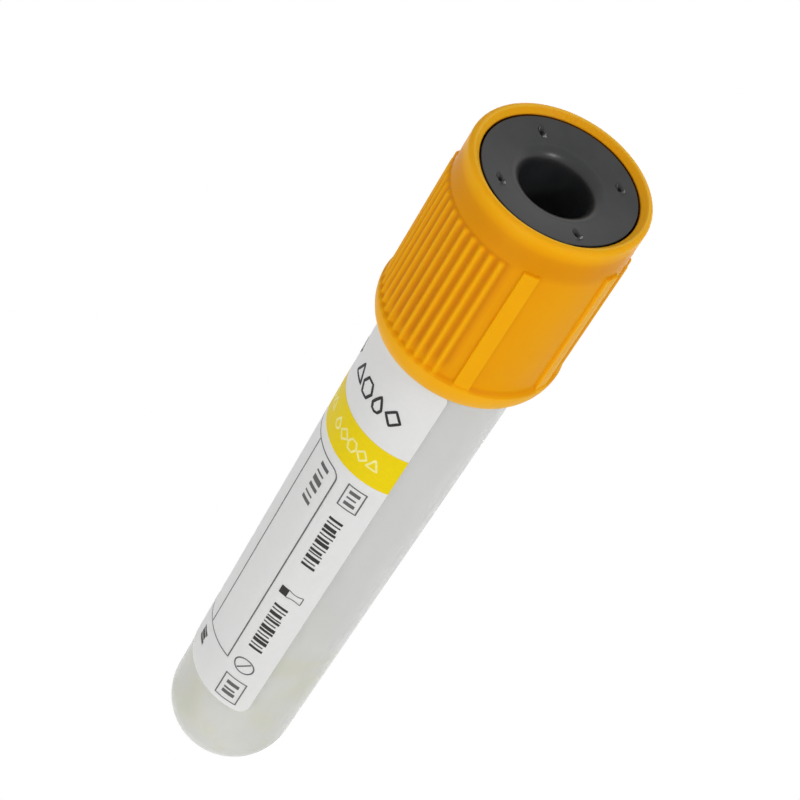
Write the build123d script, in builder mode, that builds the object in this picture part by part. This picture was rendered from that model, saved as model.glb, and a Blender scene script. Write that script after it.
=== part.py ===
from build123d import *
import os
from math import cos, degrees, radians, sin

# A 13 mm by 75 mm blood collection tube with its closure on, standing on its head. Its
# bottom is round and its side rolls, so the rim of its cap is what it can stand on. The
# part's frame has +Z up, toward the round bottom, and its origin is on the tube's axis
# in the plane of the rim, on the surface that the part stands on.
#
# Heights are measured along the tube's axis, from the outermost point of its bottom
# toward the cap. Angles run counter-clockwise round the axis as seen from the cap, from
# the +X side, so 90 degrees faces -Y, the front. Lengths are in millimetres.

# Tube: a round-bottomed moulding with a slight draft.
TUBE_LENGTH = 75.0
MOUTH_RADIUS = 6.5
TUBE_DRAFT = 0.25
TUBE_WALL = 1.0
MOUTH_ROUNDING = 0.3

# Separator gel in the bottom of the tube, with a sagging surface.
GEL_LEVEL = 22.0
GEL_SAG = 0.4
GEL_CLEARANCE = 0.02

# Label: a film round the tube, up to just below the cap, that leaves a clear window open.
LABEL_FOOT = 12.4
LABEL_GAP = 0.6
LABEL_THICKNESS = 0.1
LABEL_GLUE = 0.01
LABEL_ARC = 275.0
LABEL_END_ANGLE = 105.3

# Stopper: a plug in the bore, a flange on the mouth, a neck and a head.
PLUG_REACH = 8.5
PLUG_CLEARANCE = 0.05
PLUG_CHAMFER = 0.6
PLUG_WALL = 2.2
FLANGE_HEIGHT = 2.0
NECK_DEPTH = 0.65
HEAD_OVERHANG = 0.25
HEAD_ROUNDING = 0.15
WELL_RADIUS = 3.05
WELL_DEPTH = 5.5
WELL_ROUNDING = 0.85
WELL_FLOOR_ROUNDING = 0.4
SEPTUM_THICKNESS = 4.2
RECESS_ROUNDING = 0.8
DISH_DEPTH = 0.55
DISH_BULGE = 0.04
NUB_COUNT = 4
NUB_RADIUS = 0.4
NUB_HEIGHT = 0.22
NUB_INSET = 1.5
NUB_ANGLE = 36.0

# Cap: a drafted shell with a collar at its foot and a ring inside that locks the neck.
# The shares are those of the rim's wall that its inner chamfer and its outer rounding take.
CAP_HEIGHT = 19.8
SKIRT_REACH = 11.0
SKIRT_CLEARANCE = 0.35
SKIRT_WALL = 1.1
CAP_DRAFT = 0.13
RING_HEIGHT = 1.1
RING_CLEARANCE = 0.05
HEAD_CLEARANCE = 0.07
RIM_HEIGHT = 0.55
RIM_CHAMFER_SHARE = 0.5
RIM_ROUNDING_SHARE = 0.45
COLLAR_HEIGHT = 2.5
COLLAR_STEP = 0.4
COLLAR_ROUNDING = 0.35
COLLAR_UNDERCUT = 0.65

# Grip: two opposite plain panels, each between two flat bars, and ribs on the rest.
GRIP_HEIGHT = 0.25
GRIP_ROOT = 0.3
BAND_HEIGHT = 3.65
PANEL_ANGLES = (130.0, 310.0)
BAR_SPREAD = 27.0
BAR_WIDTH = 1.37
RIB_COUNT = 14
RIB_PITCH = 6.93
RIB_WIDTH = 0.5
RIB_END_ROUNDING = 0.24

# Radii and heights that several pieces share.
bottom_radius = MOUTH_RADIUS - TUBE_DRAFT
head_radius = MOUTH_RADIUS + HEAD_OVERHANG
neck_radius = head_radius - NECK_DEPTH
core_foot_radius = MOUTH_RADIUS + SKIRT_CLEARANCE + SKIRT_WALL
core_top_radius = core_foot_radius - CAP_DRAFT
collar_radius = core_foot_radius + COLLAR_STEP
head_bore = head_radius + HEAD_CLEARANCE
rim_wall = core_top_radius - head_bore
rim_rounding = RIM_ROUNDING_SHARE * rim_wall
rim_arc_radius = core_top_radius - rim_rounding
cap_foot = TUBE_LENGTH - SKIRT_REACH
cap_top = cap_foot + CAP_HEIGHT
rim_arc_height = cap_top - rim_rounding
collar_top = cap_foot + COLLAR_HEIGHT
collar_crown = collar_top - COLLAR_ROUNDING
grip_top = cap_top - BAND_HEIGHT
label_top = cap_foot - LABEL_GAP
face_height = cap_top - RIM_HEIGHT
neck_foot = TUBE_LENGTH + FLANGE_HEIGHT
neck_top = neck_foot + RING_HEIGHT + 2 * RING_CLEARANCE

# The tube's own frame: its z runs along the axis toward the cap, which is down.
tube_frame = Plane(origin=(0, 0, cap_top), x_dir=(1, 0, 0), z_dir=(0, 0, -1))
tube_axis = Axis(tube_frame.origin, tube_frame.z_dir)


def section_plane(angle=0.0):
    """Plane through the axis: its x runs outward at this angle and its y along the axis."""
    turn = radians(angle)
    outward = tube_frame.x_dir * cos(turn) + tube_frame.y_dir * sin(turn)
    return Plane(origin=tube_frame.origin, x_dir=outward, z_dir=outward.cross(tube_frame.z_dir))


def drafted(height, foot, top):
    """Radius at a height on a straight side between two (radius, height) points."""
    return foot[0] + (top[0] - foot[0]) * (height - foot[1]) / (top[1] - foot[1])


def tube_radius(height):
    """Outer radius of the tube's side."""
    return drafted(height, (bottom_radius, bottom_radius), (MOUTH_RADIUS, TUBE_LENGTH))


def bore_radius(height):
    """Radius of the tube's bore."""
    return tube_radius(height) - TUBE_WALL


def core_radius(height):
    """Radius of the cap's side between the ribs."""
    return drafted(height, (core_foot_radius, collar_top), (core_top_radius, rim_arc_height))


def arc_of(width):
    """Angle that a width takes up on the cap's side."""
    return degrees(width / core_foot_radius)


def round_bottom(radius):
    """Profile of a round bottom, from the axis to the side."""
    return CenterArc((0, bottom_radius), radius, start_angle=-90, arc_size=90)


def corner(point):
    """The sketch's corner at this point."""
    return vertices().sort_by_distance(point)[0]


def grip_section(angle, width, end_rounding=None):
    """Lengthwise section of a rib or bar on the cap, at its first side."""
    top_edge = (core_radius(grip_top) + GRIP_HEIGHT, grip_top)
    with BuildSketch(section_plane(angle - arc_of(width) / 2)) as section:
        with BuildLine():
            Polyline(
                (core_radius(collar_crown) - GRIP_ROOT, collar_crown),
                (core_radius(collar_crown) + GRIP_HEIGHT, collar_crown),
                top_edge,
                (core_radius(grip_top) - GRIP_ROOT, grip_top),
                close=True,
            )
        make_face()
        if end_rounding:
            fillet(corner(top_edge), radius=end_rounding)
    return section.sketch


with BuildPart() as tube:
    with BuildSketch(section_plane()):
        with BuildLine():
            outside = round_bottom(bottom_radius)
            inside = round_bottom(bottom_radius - TUBE_WALL)
            mouth_outside = (MOUTH_RADIUS, TUBE_LENGTH)
            mouth_inside = (bore_radius(TUBE_LENGTH), TUBE_LENGTH)
            Polyline(outside @ 1, mouth_outside, mouth_inside, inside @ 1)
            Line(inside @ 0, outside @ 0)
        make_face()
        fillet([corner(mouth_outside), corner(mouth_inside)], radius=MOUTH_ROUNDING)
    revolve(axis=tube_axis)
tube.part.label = "tube"

with BuildPart() as separator_gel:
    with BuildSketch(section_plane()):
        with BuildLine():
            gel_bottom = round_bottom(bottom_radius - TUBE_WALL - GEL_CLEARANCE)
            gel_edge = (bore_radius(GEL_LEVEL) - GEL_CLEARANCE, GEL_LEVEL)
            Line(gel_bottom @ 1, gel_edge)
            gel_surface = TangentArc((0, GEL_LEVEL - GEL_SAG), gel_edge, tangent=(1, 0))
            Line(gel_surface @ 0, gel_bottom @ 0)
        make_face()
    revolve(axis=tube_axis)
separator_gel.part.label = "separator_gel"

with BuildPart() as label:
    with BuildSketch(section_plane(LABEL_END_ANGLE - LABEL_ARC)):
        with BuildLine():
            glue_foot = tube_radius(LABEL_FOOT) + LABEL_GLUE
            glue_top = tube_radius(label_top) + LABEL_GLUE
            Polyline(
                (glue_foot, LABEL_FOOT),
                (glue_top, label_top),
                (glue_top + LABEL_THICKNESS, label_top),
                (glue_foot + LABEL_THICKNESS, LABEL_FOOT),
                close=True,
            )
        make_face()
    revolve(axis=tube_axis, revolution_arc=LABEL_ARC)
label.part.label = "label"

with BuildPart() as rubber_stopper:
    head_edge = (head_radius, face_height)
    well_edge = (WELL_RADIUS, face_height - DISH_DEPTH)
    well_floor = face_height - DISH_DEPTH - WELL_DEPTH
    plug_root = (bore_radius(TUBE_LENGTH) - PLUG_CLEARANCE, TUBE_LENGTH)
    plug_foot = TUBE_LENGTH - PLUG_REACH
    plug_foot_radius = bore_radius(plug_foot) - PLUG_CLEARANCE
    recess_radius = plug_foot_radius - PLUG_WALL
    recess_top = well_floor - SEPTUM_THICKNESS
    with BuildSketch(section_plane()):
        with BuildLine():
            dish = SagittaArc(well_edge, head_edge, DISH_BULGE)
            outside = Polyline(
                dish @ 1,
                (head_radius, neck_top),
                (neck_radius, neck_top),
                (neck_radius, neck_foot),
                (head_radius, neck_foot),
                (head_radius, TUBE_LENGTH),
                plug_root,
                (plug_foot_radius, plug_foot),
                (recess_radius, plug_foot),
                (recess_radius, recess_top),
                (0, recess_top),
            )
            Polyline(outside @ 1, (0, well_floor), (WELL_RADIUS, well_floor), dish @ 0)
        make_face()
        fillet(corner(well_edge), radius=WELL_ROUNDING)
        fillet(corner((WELL_RADIUS, well_floor)), radius=WELL_FLOOR_ROUNDING)
        fillet(corner(head_edge), radius=HEAD_ROUNDING)
        fillet(corner((recess_radius, recess_top)), radius=RECESS_ROUNDING)
        chamfer(corner((plug_foot_radius, plug_foot)), length=PLUG_CHAMFER)
    revolve(axis=tube_axis)
    nub_circle = head_radius - NUB_INSET
    nub_seat = face_height - DISH_DEPTH * NUB_INSET / (head_radius - WELL_RADIUS)
    with Locations(tube_frame.offset(nub_seat + NUB_HEIGHT - NUB_RADIUS)):
        with PolarLocations(nub_circle, NUB_COUNT, start_angle=NUB_ANGLE):
            Sphere(NUB_RADIUS)
rubber_stopper.part.label = "rubber_stopper"

with BuildPart() as cap:
    skirt_bore = MOUTH_RADIUS + SKIRT_CLEARANCE
    ring_radius = neck_radius + RING_CLEARANCE
    ring_foot = neck_foot + RING_CLEARANCE
    ring_top = ring_foot + RING_HEIGHT
    with BuildSketch(section_plane()):
        with BuildLine():
            rim_centre = (rim_arc_radius, rim_arc_height)
            rim = CenterArc(rim_centre, rim_rounding, start_angle=0, arc_size=90)
            crown_centre = (collar_radius - COLLAR_ROUNDING, collar_crown)
            crown = CenterArc(crown_centre, COLLAR_ROUNDING, start_angle=0, arc_size=90)
            undercut_edge = (collar_radius - COLLAR_UNDERCUT, cap_foot)
            collar = TangentArc(crown @ 0, undercut_edge, tangent=(0, -1))
            Polyline(rim @ 0, (core_foot_radius, collar_top), crown @ 1)
            Polyline(
                collar @ 1,
                (skirt_bore, cap_foot),
                (skirt_bore, ring_foot),
                (ring_radius, ring_foot),
                (ring_radius, ring_top),
                (head_bore, ring_top),
                (head_bore, cap_top),
                rim @ 1,
            )
        make_face()
        chamfer(corner((head_bore, cap_top)), length=RIM_CHAMFER_SHARE * rim_wall)
    revolve(axis=tube_axis)
    for panel_angle in PANEL_ANGLES:
        bars = [grip_section(panel_angle + side * BAR_SPREAD, BAR_WIDTH) for side in (-1, 1)]
        revolve(bars, axis=tube_axis, revolution_arc=arc_of(BAR_WIDTH))
        first_rib = panel_angle - 90 - RIB_PITCH * (RIB_COUNT - 1) / 2
        rib_angles = [first_rib + RIB_PITCH * n for n in range(RIB_COUNT)]
        ribs = [grip_section(angle, RIB_WIDTH, RIB_END_ROUNDING) for angle in rib_angles]
        revolve(ribs, axis=tube_axis, revolution_arc=arc_of(RIB_WIDTH))
cap.part.label = "cap"

os.makedirs("parts", exist_ok=True)
for piece in (tube, separator_gel, label, rubber_stopper, cap):
    export_step(piece.part, f"parts/{piece.part.label}.step")
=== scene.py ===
"""Looks of a blood collection tube that stands upside down on the rim of its cap.

The closure is a ribbed plastic cap over a rubber stopper. The clear tube above it holds separator
gel, and a printed film is wrapped round it that leaves a clear window open.

Sizes are in millimetres and angles in degrees, unless a name says otherwise. Heights run along the
tube's axis, from the outermost point of its round bottom toward the cap. Angles run round the axis
as seen from the cap, and 90 degrees faces the front.
"""

import logging
import math
from collections.abc import Callable, Iterable, Sequence
from dataclasses import dataclass
from enum import Enum
from itertools import pairwise

import bpy
from mathutils import Matrix, Vector

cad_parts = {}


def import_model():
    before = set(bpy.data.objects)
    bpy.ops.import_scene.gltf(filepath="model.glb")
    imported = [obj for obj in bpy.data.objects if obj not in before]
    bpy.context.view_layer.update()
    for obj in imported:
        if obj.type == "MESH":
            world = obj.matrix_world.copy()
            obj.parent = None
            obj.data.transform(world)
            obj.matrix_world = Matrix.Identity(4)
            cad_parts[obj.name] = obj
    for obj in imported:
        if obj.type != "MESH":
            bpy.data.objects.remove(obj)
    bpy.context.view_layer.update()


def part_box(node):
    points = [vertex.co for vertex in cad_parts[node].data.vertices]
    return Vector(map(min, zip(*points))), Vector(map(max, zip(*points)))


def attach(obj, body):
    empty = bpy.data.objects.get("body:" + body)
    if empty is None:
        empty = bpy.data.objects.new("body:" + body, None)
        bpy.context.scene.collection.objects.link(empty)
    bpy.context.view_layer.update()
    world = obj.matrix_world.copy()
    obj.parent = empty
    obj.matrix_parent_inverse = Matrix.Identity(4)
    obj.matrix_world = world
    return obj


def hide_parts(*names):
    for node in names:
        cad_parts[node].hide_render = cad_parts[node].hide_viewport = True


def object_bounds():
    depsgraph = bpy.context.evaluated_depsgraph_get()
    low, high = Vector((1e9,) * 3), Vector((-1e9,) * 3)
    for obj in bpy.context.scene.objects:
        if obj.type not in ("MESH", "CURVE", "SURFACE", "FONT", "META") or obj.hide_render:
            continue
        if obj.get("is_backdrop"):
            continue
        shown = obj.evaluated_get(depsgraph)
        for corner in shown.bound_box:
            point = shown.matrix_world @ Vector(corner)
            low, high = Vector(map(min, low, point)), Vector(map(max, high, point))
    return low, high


LOG = logging.getLogger("blood_tube")
MM = 0.001
# Name of the mesh attribute that holds the cap's painted shade and painted highlight at each corner.
PAINTED_LIGHT = "painted_light"
WHITE = (1.0, 1.0, 1.0, 1.0)
PATTERN_MIDDLE = (0.3, 0.7)
HAIR_BREADTH = 0.01
FAINTLY_DARKER = 0.985

Colour = tuple[float, float, float]
Place = tuple[float, float]
Span = tuple[float, float]
Outline = list[Place]
Relief = Callable[[float, float, float], Place]
Grid = list[Outline]
Waves = Sequence[tuple[float, float, float]]


class Body(Enum):
    """The bodies that pieces ride on."""

    CLOSURE = "closure"
    TUBE = "tube_body"


class Node(Enum):
    """The construction solids that the detailed pieces stand for."""

    TUBE = "tube"
    GEL = "separator_gel"
    LABEL = "label"
    STOPPER = "rubber_stopper"
    CAP = "cap"


class Slot(Enum):
    """Names of the material slots, one for each kind of piece."""

    TUBE = "tube_plastic"
    GEL = "gel"
    LABEL = "label_film"
    STOPPER = "stopper_rubber"
    CAP = "cap_plastic"


class PaintedLightLevel(Enum):
    """Painted shade and painted highlight on the cap, set by where a place is. Its finish is coloured by
    this.
    """

    # Painted shade: the gap round the stopper, the grooves between the ribs and the band over the grip.
    GAP_SHADE = 0.0
    GROOVE_SHADE = 0.22
    BAND_SHADE = 0.34
    # The plastic's own colour.
    PLAIN = 0.5
    # Painted highlight: the ribs and bars, the edges off the grip and the flat rim.
    RIDGE_HIGHLIGHT = 0.69
    EDGE = 0.74
    CREST_HIGHLIGHT = 1.0


# ---------------------------------------------------------------- places and outlines


@dataclass(frozen=True)
class TubeAxes:
    """The tube's own directions in the frame, and where its round bottom ends.

    Attributes:
        foot: Outermost point of the round bottom, in metres.
        along: Direction of the axis toward the cap.
        side: Direction of angle 0.
        front: Direction of angle 90.
    """

    foot: Vector
    along: Vector
    side: Vector
    front: Vector

    def outward(self, angle: float) -> Vector:
        """Direction away from the axis at an angle."""
        turn = math.radians(angle)
        return self.side * math.cos(turn) + self.front * math.sin(turn)

    def point(self, radius: float, angle: float, height: float) -> Vector:
        """Place of a point of the tube in the frame, in metres.

        Args:
            radius: Distance from the axis.
            angle: Angle round the axis.
            height: Height along the axis.

        Returns:
            The point in the frame.
        """
        return self.foot + (self.outward(angle) * radius + self.along * height) * MM


def read_axes() -> TubeAxes:
    """Finds the tube's directions from the frame.

    Returns:
        The axes of the standing tube, whose round bottom is its highest point.
    """
    low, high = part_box(Node.TUBE.value)
    middle = (low + high) / 2
    foot = Vector((middle.x, middle.y, high.z))
    return TubeAxes(foot, Vector((0, 0, -1)), Vector((1, 0, 0)), Vector((0, -1, 0)))


def arc(centre: Place, radius: float, start: float, end: float, steps: int) -> Outline:
    """Points along an arc of an outline.

    Args:
        centre: Radius and height of the arc's centre.
        radius: Size of the arc.
        start: Angle of the first point, from the outward direction toward the cap.
        end: Angle of the last point.
        steps: Number of spans.

    Returns:
        The points, both ends included.
    """
    turns = (math.radians(start + (end - start) * n / steps) for n in range(steps + 1))
    return [(centre[0] + radius * math.cos(t), centre[1] + radius * math.sin(t)) for t in turns]


def run(start: Place, end: Place, steps: int) -> Outline:
    """Evenly spaced points along a straight stretch, both ends included."""
    shares = [n / steps for n in range(steps + 1)]
    return [tuple(a + (b - a) * s for a, b in zip(start, end)) for s in shares]


def evenly(count: int) -> list[float]:
    """Angles of that many evenly spaced columns round the axis."""
    return [360 * n / count for n in range(count)]


def polar(radius: float, angle: float) -> Place:
    """Place across the axis of a radius and an angle."""
    turn = math.radians(angle)
    return radius * math.cos(turn), radius * math.sin(turn)


def turned(place: Vector, angle: float) -> Place:
    """How far a place across the axis lies along a direction, and beside it."""
    ahead = Vector(polar(1.0, angle))
    return place.dot(ahead), place.dot(ahead.orthogonal())


def turn_between(angle: float, other: float) -> float:
    """Angle between two directions, from 0 to 180."""
    return abs((angle - other + 180) % 360 - 180)


def wave_at(place: float, waves: Waves) -> float:
    """Sum of sine waves at a place. Each wave has its height, its pace and its start."""
    return sum(size * math.sin(place * pace + start) for size, pace, start in waves)


def smooth_step(share: float) -> float:
    """Rises smoothly from 0 to 1 as the share does."""
    held = min(1.0, max(0.0, share))
    return held * held * (3 - 2 * held)


def mix(low: float, high: float, share: float) -> float:
    """A value between two others."""
    return low + (high - low) * share


def bell(share: float) -> float:
    """Falls smoothly from 1 to 0 as the share goes from 0 to 1 either way."""
    return (1 + math.cos(math.pi * min(1.0, abs(share)))) / 2


@dataclass(frozen=True)
class Taper:
    """A straight tapered side.

    Attributes:
        foot: Radius and height of its lower end.
        top: Radius and height of its upper end.
    """

    foot: Place
    top: Place

    def radius(self, height: float) -> float:
        """Radius at a height."""
        share = (height - self.foot[1]) / (self.top[1] - self.foot[1])
        return self.foot[0] + (self.top[0] - self.foot[0]) * share


# ---------------------------------------------------------------- meshes


def add_piece(
    name: str, points: Iterable[Vector], faces: list[tuple[int, ...]], crease: float
) -> bpy.types.Object:
    """Makes a closed mesh piece with smooth shading and its normals outward.

    Args:
        name: Name of the piece.
        points: Corners in the frame.
        faces: Corner numbers of each face.
        crease: Angle between faces from which an edge is sharp.

    Returns:
        The new object, in the scene.
    """
    mesh = bpy.data.meshes.new(name)
    mesh.from_pydata([tuple(p) for p in points], [], faces)
    mesh.update()
    mesh.shade_smooth()
    mesh.set_sharp_from_angle(angle=math.radians(crease))
    piece = bpy.data.objects.new(name, mesh)
    bpy.context.scene.collection.objects.link(piece)
    return piece


def turned_piece(
    name: str,
    axes: TubeAxes,
    outline: Outline,
    columns: Sequence[float],
    relief: Relief | None = None,
    crease: float = 35.0,
) -> bpy.types.Object:
    """Turns an outline round the axis.

    The outline runs counter-clockwise as radius goes right and height goes up. It is a loop,
    or it starts and ends on the axis.

    Args:
        name: Name of the piece.
        axes: The tube's axes.
        outline: Radius and height of each ring of corners.
        columns: Angle of each column of corners, in rising order.
        relief: Moves a corner's radius and height, given them and its angle.
        crease: Angle between faces from which an edge is sharp.

    Returns:
        The new object.
    """
    points: list[Vector] = []
    rings: list[list[int]] = []
    for radius, height in outline:
        if radius == 0:
            rings.append([len(points)] * len(columns))
            points.append(axes.point(0, 0, height))
            continue
        rings.append(list(range(len(points), len(points) + len(columns))))
        for angle in columns:
            moved = relief(radius, height, angle) if relief else (radius, height)
            points.append(axes.point(moved[0], angle, moved[1]))
    if outline[0][0]:
        rings.append(rings[0])
    faces = []
    for lower, upper in pairwise(rings):
        for n in range(len(columns)):
            after = (n + 1) % len(columns)
            corners = (lower[n], lower[after], upper[after], upper[n])
            face = tuple(dict.fromkeys(corners))
            if len(face) > 2:
                faces.append(face)
    return add_piece(name, points, faces, crease)


def wrapped_piece(
    name: str,
    place: Callable[[float, float, float], Vector],
    patches: Iterable[Grid],
    inner: float,
    outer: float,
) -> bpy.types.Object:
    """Makes closed slabs that follow the wrapped label.

    Args:
        name: Name of the piece.
        place: Gives the frame's point for a place on the label and a lift off the tube.
        patches: Rows of label places, one grid for each slab. A row that starts and ends at the
            same place closes into a ring.
        inner: Lift of the slabs' inner face.
        outer: Lift of the slabs' outer face.

    Returns:
        The new object.
    """
    points: list[Vector] = []
    faces: list[tuple[int, ...]] = []
    for rows in patches:
        ring = rows[0][0] == rows[0][-1]
        wide = len(rows[0]) - (1 if ring else 0)
        base = len(points)
        layer = wide * len(rows)
        for lift in (inner, outer):
            points += [place(x, z, lift) for row in rows for x, z in row[:wide]]

        def corner(row: int, column: int, top: bool) -> int:
            """Number of a slab's corner."""
            return base + (layer if top else 0) + row * wide + column % wide

        for row in range(len(rows) - 1):
            for column in range(len(rows[0]) - 1):
                square = [(row, column), (row, column + 1), (row + 1, column + 1), (row + 1, column)]
                faces.append(tuple(corner(r, c, True) for r, c in square))
                faces.append(tuple(corner(r, c, False) for r, c in reversed(square)))
        last_row, last_column = len(rows) - 1, len(rows[0]) - 1
        rim = [((0, c + 1), (0, c)) for c in range(last_column)]
        rim += [((last_row, c), (last_row, c + 1)) for c in range(last_column)]
        if not ring:
            rim += [((r, 0), (r + 1, 0)) for r in range(last_row)]
            rim += [((r + 1, last_column), (r, last_column)) for r in range(last_row)]
        for one, two in rim:
            faces.append((corner(*one, True), corner(*two, True), corner(*two, False), corner(*one, False)))
    return add_piece(name, points, faces, crease=50.0)


# ---------------------------------------------------------------- finishes


class NodeSheet:
    """Builds a tree of shader nodes."""

    def __init__(self, tree: bpy.types.NodeTree) -> None:
        """Starts from a tree that has its output node already."""
        self.tree = tree

    def add(self, kind: str, **values: object) -> bpy.types.Node:
        """Adds a node and sets its properties and inputs.

        Args:
            kind: The node's type name.
            values: Properties by name, or input values by the input's name with _ for spaces.

        Returns:
            The node.
        """
        node = self.tree.nodes.new(kind)
        for key, value in values.items():
            if hasattr(node, key):
                setattr(node, key, value)
            else:
                node.inputs[key.replace("_", " ")].default_value = value
        return node

    def link(self, source: bpy.types.NodeSocket, target: bpy.types.NodeSocket) -> None:
        """Joins an output to an input."""
        self.tree.links.new(source, target)

    def joined(self, node: bpy.types.Node, *sources: bpy.types.NodeSocket) -> bpy.types.NodeSocket:
        """Feeds a node's first inputs.

        Args:
            node: The node.
            sources: An output for each of its first inputs, in order.

        Returns:
            The node's first output.
        """
        for source, target in zip(sources, node.inputs):
            self.link(source, target)
        return node.outputs[0]

    def spread(
        self, number: bpy.types.NodeSocket, span: Span, result: Span, shape: str = "LINEAR"
    ) -> bpy.types.NodeSocket:
        """Turns a span of numbers into another, and holds its ends beyond it.

        Args:
            number: The number.
            span: The span that it is read in.
            result: What the span's two ends become.
            shape: The way from one end to the other.

        Returns:
            The new number.
        """
        ends = {"From_Min": span[0], "From_Max": span[1], "To_Min": result[0], "To_Max": result[1]}
        return self.joined(self.add("ShaderNodeMapRange", interpolation_type=shape, **ends), number)


class FinishSheet(NodeSheet):
    """Builds the node tree of one finish."""

    def __init__(self, name: str) -> None:
        """Starts a material whose surface is a plain Principled shader.

        Args:
            name: Name of the material.
        """
        self.material = bpy.data.materials.new(name)
        self.material.use_nodes = True
        super().__init__(self.material.node_tree)
        self.shader = self.tree.nodes["Principled BSDF"]
        self.output = self.tree.nodes["Material Output"]

    def set_surface(self, **values: object) -> None:
        """Sets inputs of the Principled shader, by name with _ for spaces."""
        for key, value in values.items():
            self.shader.inputs[key.replace("_", " ")].default_value = value

    def noise(self, grain: float, detail: float = 3.0, stretch: float = 1.0) -> bpy.types.NodeSocket:
        """Adds noise that is fixed to the piece.

        Args:
            grain: Size of its spots.
            detail: Number of finer layers.
            stretch: How many times longer the spots are along the tube's axis.

        Returns:
            The noise, from 0 to 1.
        """
        place = self.add("ShaderNodeTexCoord")
        scale = self.add("ShaderNodeMapping", Scale=(1, 1, 1 / stretch))
        spots = self.add("ShaderNodeTexNoise", Scale=1 / (grain * MM), Detail=detail)
        self.link(place.outputs["Object"], scale.inputs["Vector"])
        self.link(scale.outputs["Vector"], spots.inputs["Vector"])
        return spots.outputs["Fac"]

    def roughen(self, share: bpy.types.NodeSocket, roughness: Span) -> None:
        """Makes the surface rougher in places.

        Args:
            share: The pattern, whose middle part is used.
            roughness: The least and the most roughness.
        """
        self.link(self.spread(share, PATTERN_MIDDLE, roughness), self.shader.inputs["Roughness"])

    def tint(
        self, share: bpy.types.NodeSocket, stops: Sequence[float], colours: Sequence[Colour]
    ) -> None:
        """Colours the surface by a pattern.

        Args:
            share: The pattern, from 0 to 1.
            stops: Share at which each colour is reached, in rising order.
            colours: The linear colours.
        """
        ramp = self.add("ShaderNodeValToRGB")
        band = ramp.color_ramp.elements
        while len(band) < len(stops):
            band.new(0.5)
        for stop, place, colour in zip(band, stops, colours):
            stop.position = place
            stop.color = (*colour, 1)
        self.link(share, ramp.inputs["Fac"])
        self.link(ramp.outputs["Color"], self.shader.inputs["Base Color"])

    def emboss(self, share: bpy.types.NodeSocket, depth: float, strength: float = 1.0) -> None:
        """Raises and sinks the surface's shading by a pattern.

        Args:
            share: The pattern, from 0 to 1.
            depth: Height of the pattern.
            strength: Share of the effect.
        """
        bump = self.add("ShaderNodeBump", Strength=strength, Distance=depth * MM)
        self.link(share, bump.inputs["Height"])
        self.link(bump.outputs["Normal"], self.shader.inputs["Normal"])

    def let_lamps_through(self, clearness: float) -> None:
        """Lets direct lamp light pass the surface, so that a clear wall casts no dark shadow.

        Args:
            clearness: Share of the light that passes.
        """
        clear = self.add("ShaderNodeBsdfTransparent", Color=(clearness, clearness, clearness, 1))
        shadow = self.add("ShaderNodeLightPath").outputs["Is Shadow Ray"]
        both = self.add("ShaderNodeMixShader")
        surface = self.joined(both, shadow, self.shader.outputs[0], clear.outputs[0])
        self.link(surface, self.output.inputs["Surface"])


def shade(colour: Colour, factor: float) -> Colour:
    """A colour made lighter or darker by a factor."""
    return tuple(channel * factor for channel in colour)


@dataclass(frozen=True)
class ClearMoulding:
    """Clear moulded polyester, faintly uneven along its length.

    Attributes:
        tint: Colour of the light that goes through it.
        refraction: How strongly it bends light.
        clearness: Share of the light that goes through it.
        lamp_share: Share of a lamp's light that passes without a shadow.
        deep_tint: Colour that a thick wall takes.
        density: How fast it takes that colour.
        roughness: Least and most roughness.
        flow_grain: Width of the flow's patches.
        flow_stretch: How many times longer they are along the tube.
        flow_depth: Height of the flow's relief.
    """

    tint: Colour = (0.87, 0.87, 0.86)
    refraction: float = 1.35
    clearness: float = 0.52
    lamp_share: float = 0.9
    deep_tint: Colour = (0.28, 0.3, 0.26)
    density: float = 68.0
    roughness: Span = (0.14, 0.26)
    flow_grain: float = 5.0
    flow_stretch: float = 6.0
    flow_depth: float = 0.015

    def make(self) -> bpy.types.Material:
        """Builds the material.

        Returns:
            The material.
        """
        sheet = FinishSheet("clear_tube_plastic")
        sheet.set_surface(Transmission_Weight=self.clearness, IOR=self.refraction)
        flow = sheet.noise(self.flow_grain, detail=2.0, stretch=self.flow_stretch)
        sheet.tint(flow, PATTERN_MIDDLE, (self.tint, shade(self.tint, FAINTLY_DARKER)))
        sheet.roughen(flow, self.roughness)
        sheet.emboss(flow, self.flow_depth)
        sheet.let_lamps_through(self.lamp_share)
        wall = sheet.add("ShaderNodeVolumeAbsorption", Color=(*self.deep_tint, 1), Density=self.density)
        sheet.link(wall.outputs[0], sheet.output.inputs["Volume"])
        return sheet.material


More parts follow.
